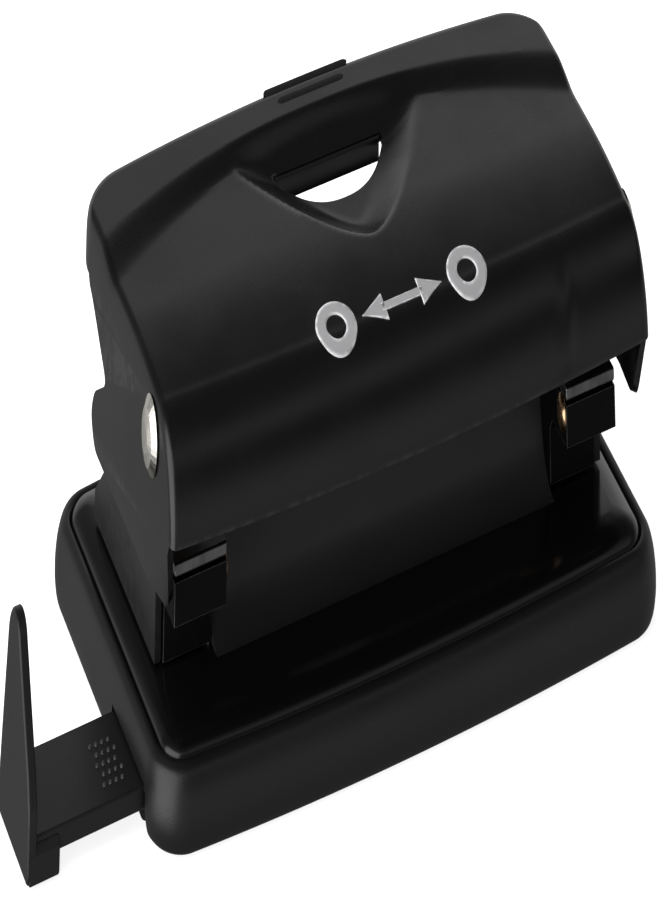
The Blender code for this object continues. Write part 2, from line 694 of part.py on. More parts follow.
def make_paper_guide():
    end = FENCE_X - FENCE_THICK
    guide = side_plate("paper_guide", fence_outline(), end, FENCE_X)
    arm = box("guide_arm_bar", (end + 0.4, GUIDE_Y[0], GUIDE_Z[0]),
              (end + GUIDE_LENGTH, GUIDE_Y[1], GUIDE_Z[1]))
    combine(guide, [arm], "UNION")
    guide.data.transform(guide.matrix_world)
    guide.matrix_world = Matrix.Identity(4)
    middle_y = sum(GUIDE_Y) / 2
    move_origin(guide, (FENCE_X, middle_y, GUIDE_Z[0]))
    return finish(guide, "plastic")


# ---------------------------------------------------------------- assembly

SIDES = (("left", -1), ("right", 1))
clear_scene()
FINISH = finishes()

make_chip_tray()
make_base_plate()
for side_name, side_sign in SIDES:
    make_die_block(side_name, side_sign)
    make_die_plate(side_name, side_sign)
    make_punch_frame(side_name, side_sign)
    make_frame_rivets(side_name, side_sign)
    make_punch_pin(side_name, side_sign)
    make_return_spring(side_name, side_sign)
    make_pivot_rivet(side_name, side_sign)
    make_pivot_washer(side_name, side_sign)
    make_press_rib(side_name, side_sign)
make_handle_shell()
make_paper_guide()
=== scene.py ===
import math

import bmesh
import bpy
import numpy as np
from mathutils import Matrix, Vector


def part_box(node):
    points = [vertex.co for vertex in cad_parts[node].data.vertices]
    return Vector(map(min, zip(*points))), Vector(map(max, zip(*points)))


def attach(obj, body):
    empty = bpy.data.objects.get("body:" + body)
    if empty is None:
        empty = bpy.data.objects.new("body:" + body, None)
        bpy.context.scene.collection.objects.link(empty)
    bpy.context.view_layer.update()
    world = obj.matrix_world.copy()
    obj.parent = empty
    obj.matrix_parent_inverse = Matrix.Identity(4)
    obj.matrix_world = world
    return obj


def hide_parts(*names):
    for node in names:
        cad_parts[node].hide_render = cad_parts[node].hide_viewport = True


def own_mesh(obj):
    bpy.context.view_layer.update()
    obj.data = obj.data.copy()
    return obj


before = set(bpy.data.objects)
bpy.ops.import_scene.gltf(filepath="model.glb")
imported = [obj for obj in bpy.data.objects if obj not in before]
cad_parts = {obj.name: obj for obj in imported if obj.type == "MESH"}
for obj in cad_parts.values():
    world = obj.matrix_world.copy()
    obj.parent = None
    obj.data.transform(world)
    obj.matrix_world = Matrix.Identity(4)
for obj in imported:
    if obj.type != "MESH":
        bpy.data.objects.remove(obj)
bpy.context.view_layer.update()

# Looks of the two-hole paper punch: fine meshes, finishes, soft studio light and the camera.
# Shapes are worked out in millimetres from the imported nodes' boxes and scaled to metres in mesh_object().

MM = 0.001
SIDES = (("left", -1), ("right", 1))


def extent(node):
    """A node's lowest and highest corners at rest, in millimetres."""
    low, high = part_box(node)
    return Vector(low) / MM, Vector(high) / MM


HANDLE_LOW, HANDLE_HIGH = extent("handle_shell")
TRAY_HIGH = extent("chip_tray")[1]
DECK_LOW, DECK_HIGH = extent("base_plate")
GUIDE_LOW, GUIDE_HIGH = extent("paper_guide")
PLATE_LOW, PLATE_HIGH = extent("die_plate_right")
BLOCK_LOW, BLOCK_HIGH = extent("die_block_right")
SPRING_LOW, SPRING_HIGH = extent("return_spring_right")
FRAME_OUTSIDE = extent("punch_frame_right")[1].x

# Tray and deck
BOW = 1.9                              # the long sides bow out by this much
TRAY_HALF_X = TRAY_HIGH.x
TRAY_HALF_Y = TRAY_HIGH.y - BOW
TRAY_CORNER = 7.0
TRAY_RIM = TRAY_HIGH.z
TRAY_WALL = 2.6
TRAY_FLOOR = 1.6
DOOR_Y = (-21.2, -6.1)                 # the guide's opening in the tray's left wall
DOOR_TOP = 4.0
DOOR_DEPTH = 6.0
DECK_TOP = 8.0
DECK_SHEET = 1.2
RAMP_RADIUS = 5.0                      # of the hollow between the deck and the ramp
RAMP_SLOPE = 72.0                      # degrees
RAMP_FOOT = -15.0
RAMP_HALF = 34.4
RAMP_BEND = 0.8                        # radius of the bends at the crest and at the paper stop
PAPER_LEVEL = PLATE_HIGH.z
STOP_Y = 9.0

# Punching stations
STATION_X = (PLATE_LOW.x + PLATE_HIGH.x) / 2
STATION_HALF = (PLATE_HIGH.x - PLATE_LOW.x) / 2
PIN_Y = (SPRING_LOW.y + SPRING_HIGH.y) / 2
DIE_OPENING = 3.3
JAW_NOSE = 14.0                        # underside of the jaw's nose
JAW_HEEL = -12.5                       # front of the jaw below its nose
JAW_STEP = 1.2
NOSE_BACK = -13.6                      # the frame's wall starts here
FRAME_WALL = 1.2
FRAME_GAP = 0.3
JAW_RIVET = (-17.9, 16.2)              # (y, z)
JAW_RIVET_RADIUS = 1.65
WIRE = 0.55

# Paper guide
ARM_Y = (-20.9, -6.4)
ARM_Z = (1.9, 3.7)
FENCE_THICK = 1.8
FENCE_TOP_Y = -12.1
FENCE_TOP_RADIUS = 3.0
FENCE_FILLET = 0.65
FOOT_REACH = GUIDE_LOW.x + 6.2         # the foot's inner end, on the fence's front corner
FOOT_WIDTH = 2.4
FOOT_HEIGHT = 3.2
GUIDE_PUSH = 19.5                      # how far the guide still slides in
DOT_ROWS, DOT_COLUMNS = 5, 4
DOT_FIRST = (-57.4, ARM_Y[0] + 3.0)
DOT_STEP = (1.15, 1.75)
DOT_STAGGER = 0.57
DOT_RADIUS = 0.34
DOT_HEIGHT = 0.24

# Handle
HALF = HANDLE_HIGH.x
SHEET = 1.1
BACK_BOW = 1.3 * BOW
HANDLE_FRONT = HANDLE_LOW.y + BOW      # at the ends
HANDLE_BACK = HANDLE_HIGH.y - BACK_BOW
CROWN = 0.5
GRIP_RAISE = 0.1                       # the inlaid grips stand this much above the pad
GRIP_CURVE = 0.16
PAD_TOP = HANDLE_HIGH.z - CROWN - GRIP_RAISE    # at the ends
CORNER = 8.0
FOLD = 1.3
FRONT_EDGE = 23.4
REAR_LIP = 30.5
LIP_DROP = 0.8                         # how much lower the rear lip ends at the corners
SHOULDER_DEPTH = 8.0
PAD_RISE = 1.0
PAD_SPAN = 40.0
PAD_START = (15.8, 9.5, 1.9)           # the rise's front: its y in the middle, drop at PAD_SPAN, and power
PAD_END = (17.9, 5.2, 2.4)             # the rise's back
FALL_START = -4.0                      # in front of this the body falls away
BODY_FALL = 0.004
REAR_ROUND = 2.4
SCOOP_HALF = 19.6
SCOOP_FRONT = -9.3
SCOOP_BACK = 13.7
SCOOP_DEPTH = 2.2
SCOOP_WALL = 8.0
SCOOP_POWER = 1.6
SLOT_HALF = 11.5
SLOT_FRONT = 4.4
SLOT_BACK = 13.0
SLOT_END = 0.8                         # front to back at the slot's ends
SLOT_POWER = 2.4
SLOT_LIP = 2.0                         # depth of the lip along the slot's rear edge
SLOT_LIP_RADIUS = 0.35
CREASE_X = 32.0                        # at CREASE_LEVEL
CREASE_LEVEL = 29.0
CREASE_TOP = 34.0
CREASE_SLANT = 0.25
CREASE_DEPTH = 0.45
CREASE_WIDTH = 1.3
FLANGE_BOTTOM = HANDLE_LOW.z
PRESSED_END = (-16.1, FLANGE_BOTTOM)   # rear end of the line where the flange's tongue leans in
TONGUE_LEAN = 0.35

# Rows of the handle's mesh, from the front edge to the rear lip
SHOULDER_STEPS = 26
BODY_STEPS = 44
SLOT_STEPS = 16
PAD_STEPS = 26
LIP_STEPS = 8
SLOT_FIRST_ROW = SHOULDER_STEPS + BODY_STEPS

# Pictogram
PRINT_MIDDLE = 13.6                    # distance up the section from the front edge to its middle
PRINT_RAISE = 0.07
PRINT_ROWS = SHOULDER_STEPS + 14       # the rows of the section that it can reach
PRINT_PROBE = 0.3                      # step along the section that gives its direction
RING_X = 13.6

# Studio light: (direction's height, brightness) in front of and behind the object
ROOM_FRONT = ((-1.0, 0.22), (-0.42, 0.42), (-0.15, 0.55), (0.15, 0.50), (0.42, 0.12), (0.66, 0.06),
              (0.82, 0.62), (0.92, 0.06), (1.0, 0.04))
ROOM_BACK = ((-1.0, 0.12), (-0.45, 0.38), (-0.1, 0.50), (0.2, 0.70), (0.38, 0.42), (0.46, 0.05), (1.0, 0.04))
ROOM_LEFT = 0.06
ROOM_TURN = (-0.15, 0.25)              # where the front's light turns into the back's, along Y


# ------------------------------------------------------------------ camera

CAMERA_PLACE = Vector((-616.9, -1335.9, 628.9)) * MM
CAMERA_TURN = 24.62                    # degrees to the right of +Y
CAMERA_DIP = 22.733                    # degrees below level
CAMERA_ROLL = 0.077
CAMERA_LENS = 461.5
CAMERA_SHIFT = -0.0035
PICTURE_TILT = -66.854                 # the picture's upright leans this far out of its plane
PICTURE_LEAN = 0.108


def make_camera():
    """The picture is stretched upright about 2.5 times: the camera hangs on a rig that shears it so."""
    turn, dip = math.radians(CAMERA_TURN), math.radians(CAMERA_DIP)
    ahead = Vector((math.sin(turn) * math.cos(dip), math.cos(turn) * math.cos(dip), -math.sin(dip)))
    right = Vector((math.cos(turn), -math.sin(turn), 0.0))
    up = right.cross(ahead)
    roll = math.radians(CAMERA_ROLL)
    right, up = (math.cos(roll) * right + math.sin(roll) * up, math.cos(roll) * up - math.sin(roll) * right)
    tilt, lean = math.radians(PICTURE_TILT), math.radians(PICTURE_LEAN)
    stretched = math.cos(tilt) * up + math.sin(tilt) * (math.cos(lean) * ahead + math.sin(lean) * right)
    axes = np.array([right, stretched, -ahead]).T
    turned, scales, own = np.linalg.svd(axes)
    if np.linalg.det(turned) < 0:
        turned[:, 2] *= -1
        scales[2] *= -1
    if np.linalg.det(own) < 0:
        own[2] *= -1
        scales[2] *= -1
    rig = bpy.data.objects.new("camera_rig", None)
    rig.matrix_basis = (Matrix.Translation(CAMERA_PLACE) @ Matrix(turned.tolist()).to_4x4()
                        @ Matrix.Diagonal((*scales.tolist(), 1.0)))
    data = bpy.data.cameras.new("camera")
    data.lens = CAMERA_LENS
    data.sensor_fit = "HORIZONTAL"
    data.sensor_width = 36.0
    data.shift_x = CAMERA_SHIFT
    data.clip_start = 0.05
    data.clip_end = 20.0
    camera = bpy.data.objects.new("camera", data)
    camera.parent = rig
    camera.matrix_basis = Matrix(own.tolist()).to_4x4()
    for made in (rig, camera):
        bpy.context.scene.collection.objects.link(made)
    bpy.context.scene.camera = camera


# --------------------------------------------------------------- materials

class Graph:
    """A short way to write a node material."""

    def __init__(self, name, colour, roughness, metallic=0.0):
        self.material = bpy.data.materials.new(name)
        self.material.use_nodes = True
        self.tree = self.material.node_tree
        self.shader = self.tree.nodes["Principled BSDF"]
        self.shader.inputs["Base Color"].default_value = (*colour, 1.0)
        self.shader.inputs["Roughness"].default_value = roughness
        self.shader.inputs["Metallic"].default_value = metallic
        self.place = self.add("ShaderNodeTexCoord").outputs["Object"]

    def add(self, kind, links=None, **values):
        node = self.tree.nodes.new(kind)
        for key, value in values.items():
            if hasattr(node, key):
                setattr(node, key, value)
            else:
                node.inputs[key.replace("_", " ")].default_value = value
        for key, source in (links or {}).items():
            self.tree.links.new(source, node.inputs[key])
        return node

    def stretched(self, scale):
        """Object coordinates, scaled by a different amount along each axis."""
        return self.add("ShaderNodeMapping", {"Vector": self.place}, Scale=scale).outputs["Vector"]

    def noise(self, per_mm, detail=3.0, rough=0.5, source=None):
        node = self.add("ShaderNodeTexNoise", {"Vector": source or self.place}, Scale=per_mm / MM,
                        Detail=detail, Roughness=rough)
        return node.outputs["Fac"]

    def ramp(self, source, low, high, start, end):
        """A value that runs from start to end while the source runs from low to high."""
        node = self.add("ShaderNodeMapRange", {"Value": source})
        node.inputs["From Min"].default_value = low
        node.inputs["From Max"].default_value = high
        node.inputs["To Min"].default_value = start
        node.inputs["To Max"].default_value = end
        return node.outputs["Result"]

    def maths(self, operation, a, b):
        node = self.add("ShaderNodeMath", operation=operation)
        for socket, value in zip(node.inputs, (a, b)):
            if isinstance(value, (int, float)):
                socket.default_value = value
            else:
                self.tree.links.new(value, socket)
        return node.outputs["Value"]

    def blend(self, factor, first, second):
        node = self.add("ShaderNodeMix", data_type="RGBA")
        self.tree.links.new(factor, node.inputs["Factor"])
        node.inputs["A"].default_value = (*first, 1.0)
        node.inputs["B"].default_value = (*second, 1.0)
        return node.outputs["Result"]

    def into(self, socket, source):
        self.tree.links.new(source, self.shader.inputs[socket])

    def bump(self, source, height_mm, below=None):
        node = self.add("ShaderNodeBump", {"Height": source}, Strength=1.0, Distance=height_mm * MM)
        if below is not None:
            self.tree.links.new(below, node.inputs["Normal"])
        return node.outputs["Normal"]


def paint(name, colour, roughness, peel_mm, peel_depth, spread=0.06, edge_wear_and_highlight_tone=4.0):
    """Sprayed paint: a faint orange peel, uneven gloss, fine dust, edges lightened by wear and painted
    highlight.
    """
    graph = Graph(name, colour, roughness)
    patches = graph.noise(0.09, 4.0)
    dust = graph.ramp(graph.noise(6.0, 2.0), 0.68, 0.78, 0.0, 1.0)
    gloss = graph.ramp(patches, 0.35, 0.65, roughness - spread, roughness + spread)
    graph.into("Roughness", graph.maths("ADD", gloss, graph.maths("MULTIPLY", dust, 0.12)))
    # Sharp edges are painted lighter: partly wear, partly a painted highlight where rounded edges catch the
    # light.
    edge_wear_and_highlight = graph.ramp(graph.add("ShaderNodeNewGeometry").outputs["Pointiness"], 0.53, 0.60, 0.0, 0.5)
    patchy_edge_wear_and_highlight = graph.maths("MULTIPLY", edge_wear_and_highlight, graph.ramp(graph.noise(0.7, 3.0), 0.4, 0.6, 0.2, 1.0))
    graph.into("Base Color", graph.blend(patchy_edge_wear_and_highlight, colour, tuple(edge_wear_and_highlight_tone * c for c in colour)))
    peel = graph.bump(graph.noise(1.0 / peel_mm, 2.0), peel_depth)
    graph.into("Normal", graph.bump(graph.noise(9.0, 2.0), 0.0015, peel))
    return graph.material


def moulded(name, colour, roughness):
    """Injection-moulded plastic with a fine spark-eroded grain and rubbed patches."""
    graph = Graph(name, colour, roughness)
    rubbed = graph.noise(0.06, 3.0)
    graph.into("Roughness", graph.ramp(rubbed, 0.3, 0.7, roughness - 0.07, roughness + 0.05))
    specks = graph.ramp(graph.noise(3.0, 2.0), 0.62, 0.75, 0.0, 0.5)
    graph.into("Base Color", graph.blend(specks, colour, tuple(2.2 * c for c in colour)))
    grain = graph.noise(4.5, 3.0, 0.6)
    graph.into("Normal", graph.bump(grain, 0.02))
    return graph.material


def metal(name, colour, dark, roughness, along=(1.0, 1.0, 1.0), depth=0.004):
    """Bare metal: drawn or turned lines, patchy stains and uneven polish."""
    graph = Graph(name, colour, roughness, metallic=1.0)
    lines = graph.noise(1.2, 4.0, 0.7, graph.stretched(along))
    stains = graph.ramp(graph.noise(0.35, 4.0), 0.45, 0.75, 0.0, 0.8)
    graph.into("Base Color", graph.blend(stains, colour, dark))
    graph.into("Roughness", graph.ramp(lines, 0.3, 0.7, roughness - 0.06, roughness + 0.1))
    graph.into("Normal", graph.bump(lines, depth))
    return graph.material


def matt_black(name):
    """A matt black finish, a little uneven."""
    graph = Graph(name, (0.003, 0.003, 0.003), 0.6)
    graph.shader.inputs["Specular IOR Level"].default_value = 0.15
    graph.into("Base Color", graph.blend(graph.noise(0.5, 3.0), (0.002, 0.002, 0.002), (0.005, 0.005, 0.005)))
    graph.into("Normal", graph.bump(graph.noise(1.1, 3.0), 0.006))
    return graph.material


def pale_floor(name):
    """A plain floor that glows a little, so that it stays as pale as the background."""
    graph = Graph(name, (0.85, 0.85, 0.85), 0.9)
    graph.into("Base Color", graph.blend(graph.noise(0.004, 2.0), (0.86, 0.86, 0.86), (0.84, 0.84, 0.84)))
    graph.shader.inputs["Emission Color"].default_value = (1.0, 1.0, 1.0, 1.0)
    graph.shader.inputs["Emission Strength"].default_value = 0.86
    return graph.material


def make_materials():
    return {
        # The handle's edges are lightened twice as much: a painted highlight along its folds, partly wear.
        "handle_paint": paint("handle_paint", (0.006, 0.006, 0.0063), 0.25, 0.8, 0.004, spread=0.05,
                              edge_wear_and_highlight_tone=8.0),
        "deck_paint": paint("deck_paint", (0.005, 0.005, 0.0053), 0.20, 1.4, 0.004, spread=0.03),
        # The ramp: the deck's black paint made lighter, as painted light falling on it from the front.
        "ramp_paint_painted_lit": paint("ramp_paint_painted_lit", (0.036, 0.036, 0.038), 0.48, 0.9, 0.005),
        "jaw_paint": matt_black("jaw_paint"),
        "frame_paint": paint("frame_paint", (0.006, 0.006, 0.0063), 0.38, 0.9, 0.006),
        "plastic": moulded("plastic", (0.009, 0.009, 0.0095), 0.42),
        "rubbed_plastic": moulded("rubbed_plastic", (0.06, 0.06, 0.062), 0.3),
        "rubber": moulded("rubber", (0.004, 0.004, 0.004), 0.75),
        "nickel": metal("nickel", (0.86, 0.84, 0.78), (0.55, 0.52, 0.46), 0.30, (1.0, 6.0, 6.0)),
        "die_steel": metal("die_steel", (0.20, 0.20, 0.20), (0.07, 0.07, 0.07), 0.34, (1.0, 8.0, 8.0)),
        "spring_steel": metal("spring_steel", (0.62, 0.42, 0.28), (0.30, 0.18, 0.11), 0.28, (8.0, 8.0, 1.0)),
        # Lighter paint for the jaws' rounded edges: partly rubbed paint, partly a painted highlight.
        "edge_rubbing_and_highlight": paint("edge_rubbing_and_highlight", (0.05, 0.05, 0.05), 0.3, 0.9, 0.006),
        "brass": metal("brass", (0.86, 0.60, 0.36), (0.45, 0.24, 0.12), 0.25),
        "nylon": moulded("nylon", (0.52, 0.50, 0.45), 0.5),
        "silver_print": paint("silver_print", (0.50, 0.50, 0.51), 0.45, 0.5, 0.003),
        "floor": pale_floor("floor"),
    }


# ------------------------------------------------------------- mesh helpers

def mesh_object(name, points, faces, material, smooth_angle=40.0):
    """A mesh from points in millimetres; faces point outwards."""
    mesh = bpy.data.meshes.new(name)
    mesh.from_pydata([Vector(point) * MM for point in points], [], faces)
    made = bpy.data.objects.new(name, mesh)
    bpy.context.scene.collection.objects.link(made)
    mesh.materials.append(MATERIALS[material])
    tidy_mesh(mesh, smooth_angle)
    return made


def tidy_mesh(mesh, smooth_angle):
    """Joins double points, turns the faces outwards and shades the mesh smooth up to an angle."""
    bm = bmesh.new()
    bm.from_mesh(mesh)
    bmesh.ops.remove_doubles(bm, verts=bm.verts, dist=1e-7)
    bmesh.ops.recalc_face_normals(bm, faces=bm.faces)
    bm.to_mesh(mesh)
    bm.free()
    mesh.shade_smooth()
    mesh.set_sharp_from_angle(angle=math.radians(smooth_angle))


def grid_faces(rows, columns, skip=lambda row, column: False):
    """Four-sided faces between rows of points, apart from those to skip."""
    return [(r * columns + c, r * columns + c + 1, (r + 1) * columns + c + 1, (r + 1) * columns + c)
            for r in range(rows - 1) for c in range(columns - 1) if not skip(r, c)]


def ring_faces(rings, count):
    """Faces that join rings of points into a closed solid, with the first and last ring filled."""
    faces = [(r * count + i, r * count + (i + 1) % count,
              (r + 1) * count + (i + 1) % count, (r + 1) * count + i)
             for r in range(rings - 1) for i in range(count)]
    return [*faces, tuple(range(count)), tuple(range((rings - 1) * count, rings * count))]


def loft(name, rings, material, smooth_angle=40.0):
    """A closed solid through rings of equal point count."""
    points = [point for ring in rings for point in ring]
    return mesh_object(name, points, ring_faces(len(rings), len(rings[0])), material, smooth_angle)


def side_slab(name, outline, x_low, x_high, material, smooth_angle=40.0):
    """An outline of (y, z) points with thickness along X."""
    count = len(outline)
    points = [(x, y, z) for x in (x_low, x_high) for y, z in outline]
    faces = [(i, (i + 1) % count, count + (i + 1) % count, count + i) for i in range(count)]
    faces += [tuple(range(count)), tuple(range(count, 2 * count))]
    return mesh_object(name, points, faces, material, smooth_angle)


def bevelled(target, width, segments=3, angle=50.0):
    """The same object with its sharp edges rounded."""
    step = target.modifiers.new("edges", "BEVEL")
    step.width = width * MM
    step.segments = segments
    step.limit_method = "ANGLE"
    step.angle_limit = math.radians(angle)
    step.harden_normals = True
    return target


def box_solid(name, low, high, material="plastic"):
    """A box between two corners; each one is bevelled, or cuts another piece."""
    points = [(x, y, z) for x in (low[0], high[0]) for y in (low[1], high[1]) for z in (low[2], high[2])]
    faces = [(0, 1, 3, 2), (4, 6, 7, 5), (0, 4, 5, 1), (2, 3, 7, 6), (0, 2, 6, 4), (1, 5, 7, 3)]
    return mesh_object(name, points, faces, material)


def faces_down(sheet):
    total = sum((face.normal * face.area for face in sheet.data.polygons), Vector())
    return total.z < 0


def thicken(sheet, thickness):
    """The same sheet with thickness added on its lower side."""
    step = sheet.modifiers.new("sheet", "SOLIDIFY")
    step.thickness = thickness * MM
    step.offset = 1.0 if faces_down(sheet) else -1.0
    step.use_even_offset = True
    return sheet


def applied(target):
    """The same object with its modifiers made part of its mesh."""
    bpy.context.view_layer.update()
    evaluated = target.evaluated_get(bpy.context.evaluated_depsgraph_get())
    mesh = bpy.data.meshes.new_from_object(evaluated)
    target.modifiers.clear()
    target.data = mesh
    return target


def cut(target, cutter):
    """The same object without the room that the cutter takes up."""
    step = target.modifiers.new("cut", "BOOLEAN")
    step.operation = "DIFFERENCE"
    step.solver = "EXACT"
    step.object = cutter
    applied(target)
    bpy.data.objects.remove(cutter, do_unlink=True)
    return target


def arc(centre, radius, start, end, count):
    """Points on a circle from one angle to another, in degrees."""
    angles = [math.radians(start + (end - start) * i / count) for i in range(count + 1)]
    return [(centre[0] + radius * math.cos(a), centre[1] + radius * math.sin(a)) for a in angles]


def full_turn(count):
    """Angles right round a circle, in radians."""
    return [2 * math.pi * i / count for i in range(count)]


def curve_through(points, steps):
    """A smooth line through a few points (Catmull-Rom)."""
    ends = [points[0], *points, points[-1]]
    made = []
    for a, b, c, d in zip(ends, ends[1:], ends[2:], ends[3:]):
        for i in range(steps):
            t = i / steps
            made.append(tuple(0.5 * (2 * q + (r - p) * t + (2 * p - 5 * q + 4 * r - s) * t * t
                                     + (3 * q - p - 3 * r + s) * t ** 3)
                              for p, q, r, s in zip(a, b, c, d)))
    made.append(points[-1])
    return made


def rounded(corners, radius, steps=5):
    """An open line of (y, z) points with its inner corners rounded."""
    line = [corners[0]]
    for before, at, after in zip(corners, corners[1:], corners[2:]):
        before, at, after = Vector(before), Vector(at), Vector(after)
        room = min(radius, (before - at).length * 0.45, (after - at).length * 0.45)
        start = at + (before - at).normalized() * room
        end = at + (after - at).normalized() * room
        for i in range(steps + 1):
            t = i / steps
            line.append(tuple(start * (1 - t) ** 2 + at * 2 * t * (1 - t) + end * t * t))
    line.append(corners[-1])
    return line


def smooth(value):
    """0 up to 0, 1 from 1, and an S-curve between."""
    share = min(1.0, max(0.0, value))
    return share * share * (3 - 2 * share)


def rides(piece, body, material_slot=None, *nodes):
    """The piece moves with a body and stands in for the CAD nodes named; material_slot is not used."""
    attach(piece, body)
    if nodes:
        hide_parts(*nodes)
    return piece


# ----------------------------------------------------------- tray and deck

def bowed_ring(inset, z, corner_steps=14, side_steps=36, end_steps=16):
    """The tray's outline in plan, drawn in by an inset: a rounded rectangle with bowed long sides."""
    half_x = TRAY_HALF_X - inset
    half_y = TRAY_HALF_Y - inset
    corner = max(TRAY_CORNER - inset, 1.5)
    plan = []
    for sign_x, sign_y, start in ((1, 1, 0), (-1, 1, 90), (-1, -1, 180), (1, -1, 270)):
        centre = (sign_x * (half_x - corner), sign_y * (half_y - corner))
        plan += arc(centre, corner, start, start + 90, corner_steps)
        long_side = start in (0, 180)
        reach = (half_x if long_side else half_y) - corner
        steps = side_steps if long_side else end_steps
        for i in range(1, steps):
            travel = reach - 2 * reach * i / steps
            x, y = (travel, half_y) if long_side else (half_x, travel)
            plan.append((sign_x * x, sign_y * y))
    return [(x, y + BOW * (1 - (x / half_x) ** 2) * y / half_y, z) for x, y in plan]


def make_tray():
    """The tray's shell, with the guide's door and a groove in which the fence's foot slides."""
    outside = curve_through([(2.0, 0.0), (0.75, 0.45), (0.14, 1.8), (0.03, 3.4), (0.3, 5.0), (0.95, 6.25),
                             (1.75, TRAY_RIM)], 4)
    inside = [(2.2, TRAY_RIM), (2.45, TRAY_RIM - 0.08), (TRAY_WALL, TRAY_RIM - 0.3),
              (TRAY_WALL, TRAY_FLOOR + 0.5), (TRAY_WALL + 0.5, TRAY_FLOOR)]
    tray = loft("tray_shell", [bowed_ring(inset, z) for inset, z in [*outside, *inside]], "plastic", 50)
    door_low = (GUIDE_LOW.x, DOOR_Y[0], TRAY_FLOOR + 0.02)
    door_high = (DOOR_DEPTH - TRAY_HALF_X, DOOR_Y[1], DOOR_TOP)
    cut(tray, box_solid("guide_door", door_low, door_high))
    groove_low = (GUIDE_LOW.x, GUIDE_LOW.y - 0.3, -1.0)
    groove_high = (FOOT_REACH + GUIDE_PUSH + 0.4, GUIDE_LOW.y + FOOT_WIDTH + 0.3, FOOT_HEIGHT + 0.4)
    cut(tray, box_solid("foot_groove", groove_low, groove_high))
    tidy_mesh(tray.data, 50)
    rides(tray, "tray", "plastic", "chip_tray")


def make_deck():
    """The painted sheet over the tray, with a bead round its edge and a skirt inside the tray's rim."""
    skirt = TRAY_WALL + 0.3
    outside = curve_through([(skirt, 6.2), (skirt + 0.25, 6.75), (skirt + 0.9, 7.25), (skirt + 1.8, 7.6),
                             (skirt + 3.0, 7.86), (skirt + 4.5, DECK_TOP)], 5)
    inner = skirt + DECK_SHEET
    under = DECK_TOP - DECK_SHEET
    section = [(inner + 1.2, under), (inner, under - 0.9), (inner, DECK_LOW.z), (skirt, DECK_LOW.z), *outside]
    deck = loft("deck", [bowed_ring(inset, z) for inset, z in section], "deck_paint", 50)
    rides(deck, "base", "deck_paint", "base_plate")


def ramp_line():
    """Top of the ramp and paper table from the front, as (y, z)."""
    hollow = arc((RAMP_FOOT, DECK_TOP + RAMP_RADIUS), RAMP_RADIUS, -90, RAMP_SLOPE - 90, 24)
    bend_y, bend_z = hollow[-1]
    crest_y = bend_y + (PAPER_LEVEL - bend_z) / math.tan(math.radians(RAMP_SLOPE))
    table = rounded([hollow[-1], (crest_y, PAPER_LEVEL), (STOP_Y - RAMP_BEND, PAPER_LEVEL)], RAMP_BEND)
    bend = 0.3 * RAMP_BEND
    stop = [(STOP_Y - bend, PAPER_LEVEL + bend), (STOP_Y, PAPER_LEVEL + RAMP_BEND), (STOP_Y, DECK_HIGH.z)]
    return hollow + table[1:] + stop


def make_ramp():
    """The bent sheet that leads the paper in: one sheet with thickness and rounded edges."""
    line = ramp_line()
    columns = 60
    points = [(RAMP_HALF * (2 * c / (columns - 1) - 1), y, z) for y, z in line for c in range(columns)]
    # The ramp's lighter paint is painted light, as if lit from the front.
    ramp = mesh_object("paper_ramp", points, grid_faces(len(line), columns), "ramp_paint_painted_lit", 60)
    thicken(ramp, DECK_SHEET)
    bevelled(ramp, 0.3)
    rides(applied(ramp), "base", "deck_paint", "base_plate")


# ------------------------------------------------------------------ handle

def crown(x):
    """1 in the middle of the handle, 0 at its ends."""
    return 1 - (x / HALF) ** 2


def pad_edge(x):
    """Front and back of the slope that rises from the body to the pad."""
    along = abs(x) / PAD_SPAN
    return [middle - drop * along ** power for middle, drop, power in (PAD_START, PAD_END)]


def scoop_depth(x, y):
    """Depth of the thumb scoop: a bowl inside a U-shaped rim, open to the pad behind."""
    along = abs(x) / SCOOP_HALF
    reach = SCOOP_BACK - SCOOP_FRONT
    front = SCOOP_FRONT + reach * along ** SCOOP_POWER
    steepness = reach / SCOOP_HALF * SCOOP_POWER * along ** (SCOOP_POWER - 1)
    inside = (y - front) / math.hypot(1.0, steepness)
    if inside <= 0:
        return 0.0
    wall = 1 - (1 - min(inside / SCOOP_WALL, 1.0)) ** 1.5
    start, end = SLOT_BACK - 2.0, pad_edge(x)[1]
    return SCOOP_DEPTH * wall * (1 - smooth((y - start) / (end - start)))


def handle_height(x, y):
    """Height of the handle's top, without the shoulder in front and the rounding behind."""
    start, end = pad_edge(x)
    pad = PAD_TOP + CROWN * crown(x) - BODY_FALL * max(0.0, FALL_START - y) ** 2
    return pad - PAD_RISE * (1 - smooth((y - start) / (end - start))) - scoop_depth(x, y)


def fold_drop(x):
    """How far the top has rounded over at x, on its way down into the side flange."""
    over = min(max(abs(x) - (HALF - FOLD), 0.0), FOLD)
    return FOLD - math.sqrt(FOLD ** 2 - over ** 2)


def slot_front(x):
    """The finger slot's front edge at x, which curves back towards the slot's ends."""
    share = min(abs(x) / SLOT_HALF, 1.0)
    return SLOT_FRONT + (SLOT_BACK - SLOT_END - SLOT_FRONT) * share ** SLOT_POWER


def crease(x, z):
    """A faint upright ridge pressed into the front face, near its right end."""
    upright = CREASE_X + CREASE_SLANT * (z - CREASE_LEVEL)
    fade = smooth((z - FRONT_EDGE) / 2.0) * smooth((CREASE_TOP - z) / 5.0)
    return CREASE_DEPTH * fade * math.exp(-((x - upright) / CREASE_WIDTH) ** 2)


